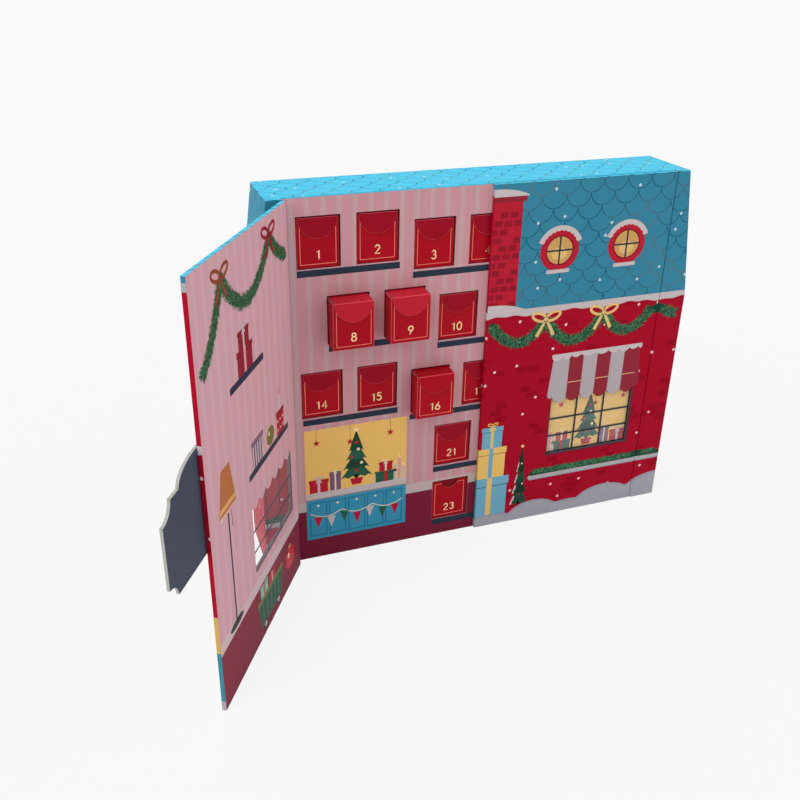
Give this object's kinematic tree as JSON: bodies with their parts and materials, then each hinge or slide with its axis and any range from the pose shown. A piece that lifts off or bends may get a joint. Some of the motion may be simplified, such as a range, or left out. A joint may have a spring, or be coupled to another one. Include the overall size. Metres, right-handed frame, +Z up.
{
  "type": "advent calendar drawer box",
  "caption": "House-fronted card advent calendar: two hinged window doors over a front panel of small lidded slide-out carton drawers.",
  "frame": {"origin": "middle of the case's underside, on which it stands", "axes": "+X to the viewer's right along the front, +Y from the front to the back, +Z up"},
  "size_m": [0.4422, 0.2261, 0.3],
  "materials": {
    "case_print": "satin",
    "panel_print": "satin",
    "door_print": "satin",
    "carton_print": "satin",
    "grey_card": "matte",
    "plaque_board": "matte",
    "clear_film": "gloss",
    "magnet_nickel": "satin",
    "keeper_steel": "satin"
  },
  "bodies": {
    "case": {"outer_case": "case_print", "front_panel": "panel_print", "cell_insert": "grey_card", "left_hinge_strip": "door_print", "right_hinge_strip": "door_print"},
    "left_door": {"left_door": "door_print", "left_window_film": "clear_film", "closure_plaque": "plaque_board", "closure_magnet": "magnet_nickel"},
    "right_door": {"right_door": "door_print", "right_window_film": "clear_film", "keeper_disc": "keeper_steel"},
    "drawer_01": {"drawer_01": "carton_print", "lid_01": "carton_print"},
    "drawer_02": {"drawer_02": "carton_print", "lid_02": "carton_print"},
    "drawer_03": {"drawer_03": "carton_print", "lid_03": "carton_print"},
    "drawer_04": {"drawer_04": "carton_print", "lid_04": "carton_print"},
    "drawer_05": {"drawer_05": "carton_print", "lid_05": "carton_print"},
    "drawer_06": {"drawer_06": "carton_print", "lid_06": "carton_print"},
    "drawer_07": {"drawer_07": "carton_print", "lid_07": "carton_print"},
    "drawer_08": {"drawer_08": "carton_print", "lid_08": "carton_print"},
    "drawer_09": {"drawer_09": "carton_print", "lid_09": "carton_print"},
    "drawer_10": {"drawer_10": "carton_print", "lid_10": "carton_print"},
    "drawer_11": {"drawer_11": "carton_print", "lid_11": "carton_print"},
    "drawer_12": {"drawer_12": "carton_print", "lid_12": "carton_print"},
    "drawer_13": {"drawer_13": "carton_print", "lid_13": "carton_print"},
    "drawer_14": {"drawer_14": "carton_print", "lid_14": "carton_print"},
    "drawer_15": {"drawer_15": "carton_print", "lid_15": "carton_print"},
    "drawer_16": {"drawer_16": "carton_print", "lid_16": "carton_print"},
    "drawer_17": {"drawer_17": "carton_print", "lid_17": "carton_print"},
    "drawer_18": {"drawer_18": "carton_print", "lid_18": "carton_print"},
    "drawer_19": {"drawer_19": "carton_print", "lid_19": "carton_print"},
    "drawer_20": {"drawer_20": "carton_print", "lid_20": "carton_print"},
    "drawer_21": {"drawer_21": "carton_print", "lid_21": "carton_print"},
    "drawer_22": {"drawer_22": "carton_print", "lid_22": "carton_print"},
    "drawer_23": {"drawer_23": "carton_print", "lid_23": "carton_print"},
    "drawer_24": {"drawer_24": "carton_print", "lid_24": "carton_print"}
  },
  "joints": [
    {"name": "left_door_hinge", "type": "hinge", "parent": "case", "child": "left_door", "pos_m": [-0.1555, -0.02895, 0.15], "axis": [0, 0, -1], "range_deg": [-121.4, 53.6]},
    {"name": "right_door_hinge", "type": "hinge", "parent": "case", "child": "right_door", "pos_m": [0.1555, -0.02895, 0.15], "axis": [0, 0, 1], "range_deg": [0, 175]},
    {"name": "drawer_01_slide", "type": "slide", "parent": "case", "child": "drawer_01", "axis": [0, -1, 0], "range_m": [0, 0.045]},
    {"name": "drawer_02_slide", "type": "slide", "parent": "case", "child": "drawer_02", "axis": [0, -1, 0], "range_m": [0, 0.045]},
    {"name": "drawer_03_slide", "type": "slide", "parent": "case", "child": "drawer_03", "axis": [0, -1, 0], "range_m": [0, 0.045]},
    {"name": "drawer_04_slide", "type": "slide", "parent": "case", "child": "drawer_04", "axis": [0, -1, 0], "range_m": [0, 0.045]},
    {"name": "drawer_05_slide", "type": "slide", "parent": "case", "child": "drawer_05", "axis": [0, -1, 0], "range_m": [0, 0.045]},
    {"name": "drawer_06_slide", "type": "slide", "parent": "case", "child": "drawer_06", "axis": [0, -1, 0], "range_m": [0, 0.045]},
    {"name": "drawer_07_slide", "type": "slide", "parent": "case", "child": "drawer_07", "axis": [0, -1, 0], "range_m": [0, 0.0321]},
    {"name": "drawer_08_slide", "type": "slide", "parent": "case", "child": "drawer_08", "axis": [0, -1, 0], "range_m": [-0.015, 0.03]},
    {"name": "drawer_09_slide", "type": "slide", "parent": "case", "child": "drawer_09", "axis": [0, -1, 0], "range_m": [-0.015, 0.03]},
    {"name": "drawer_10_slide", "type": "slide", "parent": "case", "child": "drawer_10", "axis": [0, -1, 0], "range_m": [0, 0.045]},
    {"name": "drawer_11_slide", "type": "slide", "parent": "case", "child": "drawer_11", "axis": [0, -1, 0], "range_m": [0, 0.045]},
    {"name": "drawer_12_slide", "type": "slide", "parent": "case", "child": "drawer_12", "axis": [0, -1, 0], "range_m": [0, 0.045]},
    {"name": "drawer_13_slide", "type": "slide", "parent": "case", "child": "drawer_13", "axis": [0, -1, 0], "range_m": [0, 0.045]},
    {"name": "drawer_14_slide", "type": "slide", "parent": "case", "child": "drawer_14", "axis": [0, -1, 0], "range_m": [0, 0.045]},
    {"name": "drawer_15_slide", "type": "slide", "parent": "case", "child": "drawer_15", "axis": [0, -1, 0], "range_m": [0, 0.045]},
    {"name": "drawer_16_slide", "type": "slide", "parent": "case", "child": "drawer_16", "axis": [0, -1, 0], "range_m": [-0.0137, 0.0313]},
    {"name": "drawer_17_slide", "type": "slide", "parent": "case", "child": "drawer_17", "axis": [0, -1, 0], "range_m": [0, 0.045]},
    {"name": "drawer_18_slide", "type": "slide", "parent": "case", "child": "drawer_18", "axis": [0, -1, 0], "range_m": [0, 0.045]},
    {"name": "drawer_19_slide", "type": "slide", "parent": "case", "child": "drawer_19", "axis": [0, -1, 0], "range_m": [0, 0.045]},
    {"name": "drawer_20_slide", "type": "slide", "parent": "case", "child": "drawer_20", "axis": [0, -1, 0], "range_m": [0, 0.0321]},
    {"name": "drawer_21_slide", "type": "slide", "parent": "case", "child": "drawer_21", "axis": [0, -1, 0], "range_m": [0, 0.045]},
    {"name": "drawer_22_slide", "type": "slide", "parent": "case", "child": "drawer_22", "axis": [0, -1, 0], "range_m": [0, 0.045]},
    {"name": "drawer_23_slide", "type": "slide", "parent": "case", "child": "drawer_23", "axis": [0, -1, 0], "range_m": [0, 0.045]},
    {"name": "drawer_24_slide", "type": "slide", "parent": "case", "child": "drawer_24", "axis": [0, -1, 0], "range_m": [0, 0.045]}
  ],
  "couplings": [
    {"joint": "drawer_04_slide", "follows": "right_door_hinge", "m_per_rad": 0.01473},
    {"joint": "drawer_05_slide", "follows": "right_door_hinge", "m_per_rad": 0.01473},
    {"joint": "drawer_06_slide", "follows": "right_door_hinge", "m_per_rad": 0.01473},
    {"joint": "drawer_07_slide", "follows": "right_door_hinge", "m_per_rad": 0.0105},
    {"joint": "drawer_08_slide", "follows": "left_door_hinge", "m_per_rad": 0.0070793},
    {"joint": "drawer_09_slide", "follows": "left_door_hinge", "m_per_rad": 0.0070793},
    {"joint": "drawer_11_slide", "follows": "right_door_hinge", "m_per_rad": 0.01473},
    {"joint": "drawer_12_slide", "follows": "right_door_hinge", "m_per_rad": 0.01473},
    {"joint": "drawer_13_slide", "follows": "right_door_hinge", "m_per_rad": 0.01473},
    {"joint": "drawer_16_slide", "follows": "left_door_hinge", "m_per_rad": 0.0064658},
    {"joint": "drawer_17_slide", "follows": "right_door_hinge", "m_per_rad": 0.01473},
    {"joint": "drawer_18_slide", "follows": "right_door_hinge", "m_per_rad": 0.01473},
    {"joint": "drawer_19_slide", "follows": "right_door_hinge", "m_per_rad": 0.01473},
    {"joint": "drawer_20_slide", "follows": "right_door_hinge", "m_per_rad": 0.0105},
    {"joint": "drawer_22_slide", "follows": "right_door_hinge", "m_per_rad": 0.01473},
    {"joint": "drawer_24_slide", "follows": "right_door_hinge", "m_per_rad": 0.01473}
  ]
}
